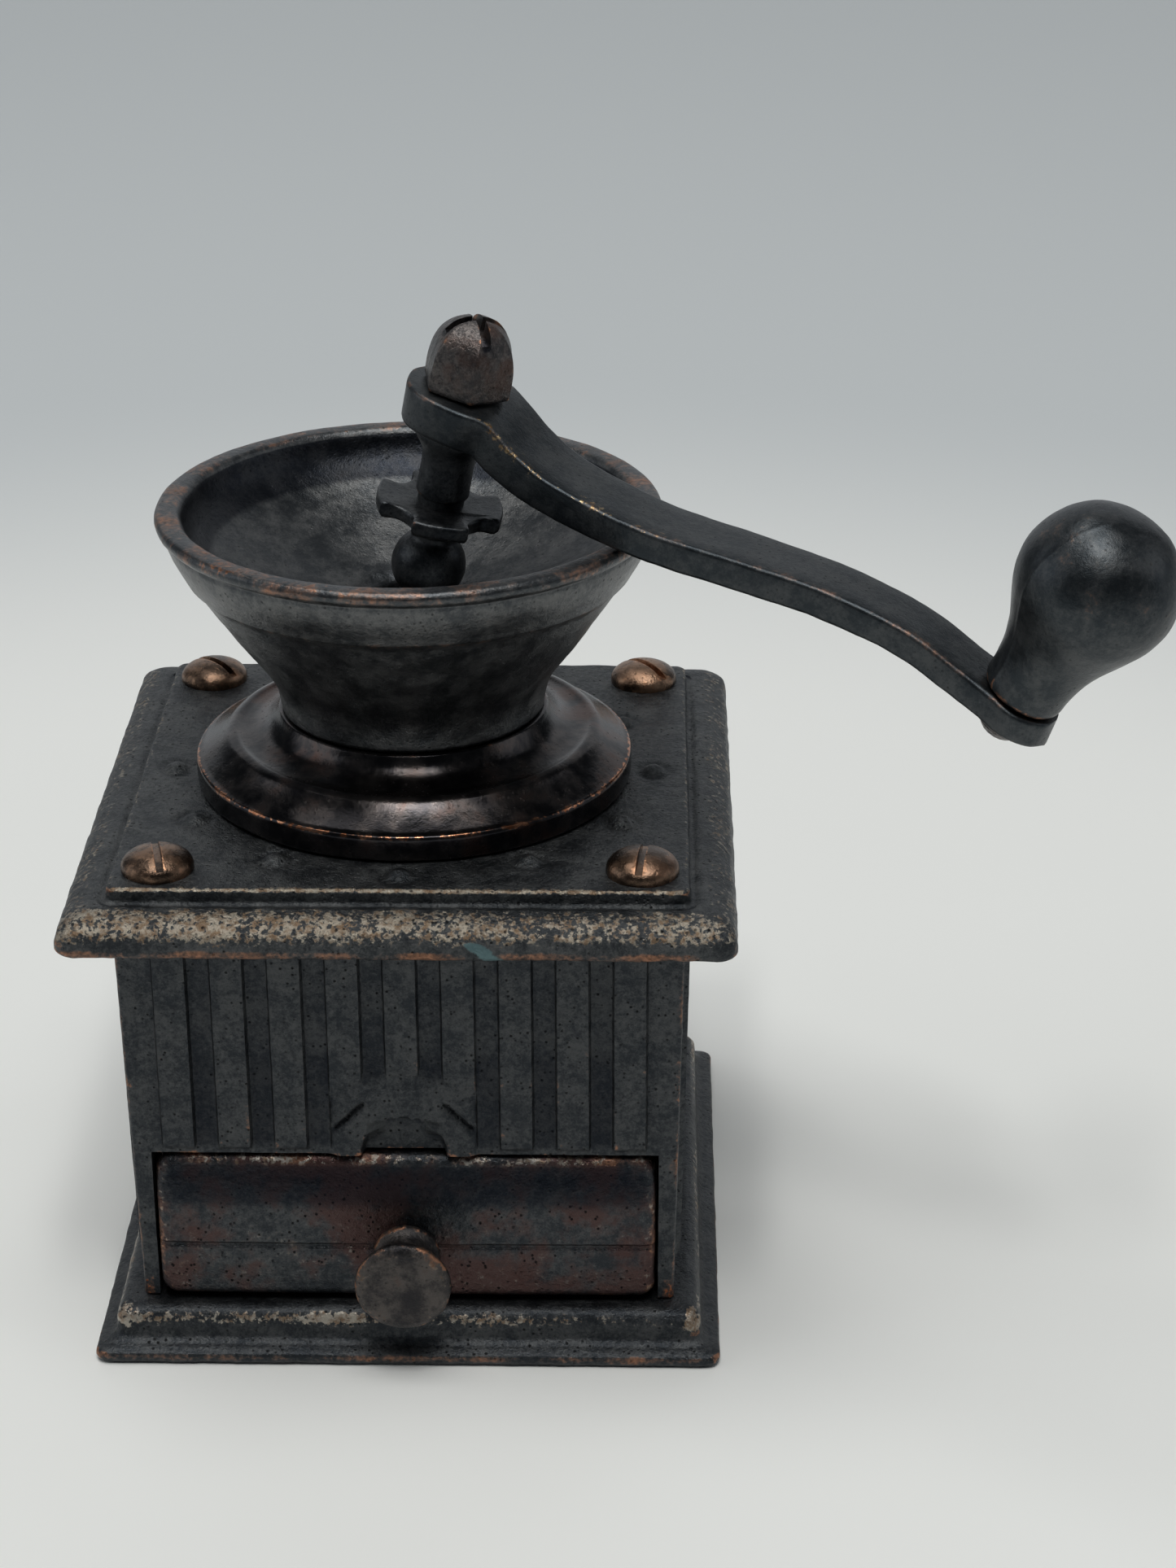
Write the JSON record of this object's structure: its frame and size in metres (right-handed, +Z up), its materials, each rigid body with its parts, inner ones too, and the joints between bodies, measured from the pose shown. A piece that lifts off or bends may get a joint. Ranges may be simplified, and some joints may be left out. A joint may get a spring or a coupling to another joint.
{
  "type": "miniature hand crank coffee grinder",
  "caption": "Miniature cast-metal box coffee mill with a reeded body, pull-out drawer, turned open hopper and a bent crank with a pear-shaped knob.",
  "frame": {"origin": "centre of the base plate's underside, on the mill's vertical spindle axis", "axes": "+Z up the spindle axis, -Y out of the drawer front, +X to the right as one faces the drawer; the crank rests 25 degrees forward of +X"},
  "size_m": [0.0768, 0.0517, 0.0743],
  "materials": {
    "cast_bronze": "pitted casting with a near-black antiqued bronze patina",
    "warm_bronze": "antiqued bronze patina with a brown-red tint",
    "worn_bronze": "handled, duller bronze patina",
    "copper_screw": "patina worn through to copper on the domes",
    "grey_iron": "bare grey castings inside the box",
    "plain_steel": "turned steel"
  },
  "bodies": {
    "mill_frame": {"base_plate": "cast_bronze", "base_screw_1": "plain_steel", "base_screw_2": "plain_steel", "base_screw_3": "plain_steel", "base_screw_4": "plain_steel", "body_shell": "cast_bronze", "top_plate": "cast_bronze", "lid_screw_1": "copper_screw", "lid_screw_2": "copper_screw", "lid_screw_3": "copper_screw", "lid_screw_4": "copper_screw", "hopper_stand": "warm_bronze", "hopper_bowl": "cast_bronze", "outer_burr": "grey_iron", "burr_screw_1": "plain_steel", "burr_screw_2": "plain_steel", "burr_screw_3": "plain_steel", "shaft_guide": "grey_iron", "lower_bridge": "grey_iron", "bridge_screw_1": "plain_steel", "bridge_screw_2": "plain_steel", "adjust_screw": "plain_steel"},
    "spindle": {"drive_shaft": "plain_steel", "inner_burr": "grey_iron", "burr_nut": "plain_steel"},
    "crank": {"crank_stem": "cast_bronze", "crank_arm": "cast_bronze", "acorn_nut": "warm_bronze", "knob_pin": "plain_steel"},
    "star": {"star_nut": "cast_bronze"},
    "knob": {"handle_knob": "cast_bronze"},
    "drawer": {"drawer_front": "warm_bronze", "drawer_knob": "worn_bronze", "drawer_tray": "worn_bronze", "drawer_rivet_1": "plain_steel", "drawer_rivet_2": "plain_steel"}
  },
  "joints": [
    {"name": "drawer_slide", "type": "slide", "parent": "mill_frame", "child": "drawer", "axis": [0, -1, 0], "range_m": [0, 0.028]},
    {"name": "spindle_spin", "type": "hinge", "parent": "mill_frame", "child": "spindle", "pos_m": [0, 0, 0.03], "axis": [0, 0, 1], "continuous": true},
    {"name": "crank_rock", "type": "hinge", "parent": "spindle", "child": "crank", "pos_m": [0, 0, 0.048], "axis": [0.4226, 0.9063, 0], "range_deg": [-15, 0]},
    {"name": "star_nut_turn", "type": "hinge", "parent": "crank", "child": "star", "pos_m": [0, 0, 0.048], "axis": [0.1962, -0.0915, 0.9763], "continuous": true},
    {"name": "knob_spin", "type": "hinge", "parent": "crank", "child": "knob", "pos_m": [0.04278, -0.01995, 0.053], "axis": [0.4394, -0.2049, 0.8746], "continuous": true}
  ]
}
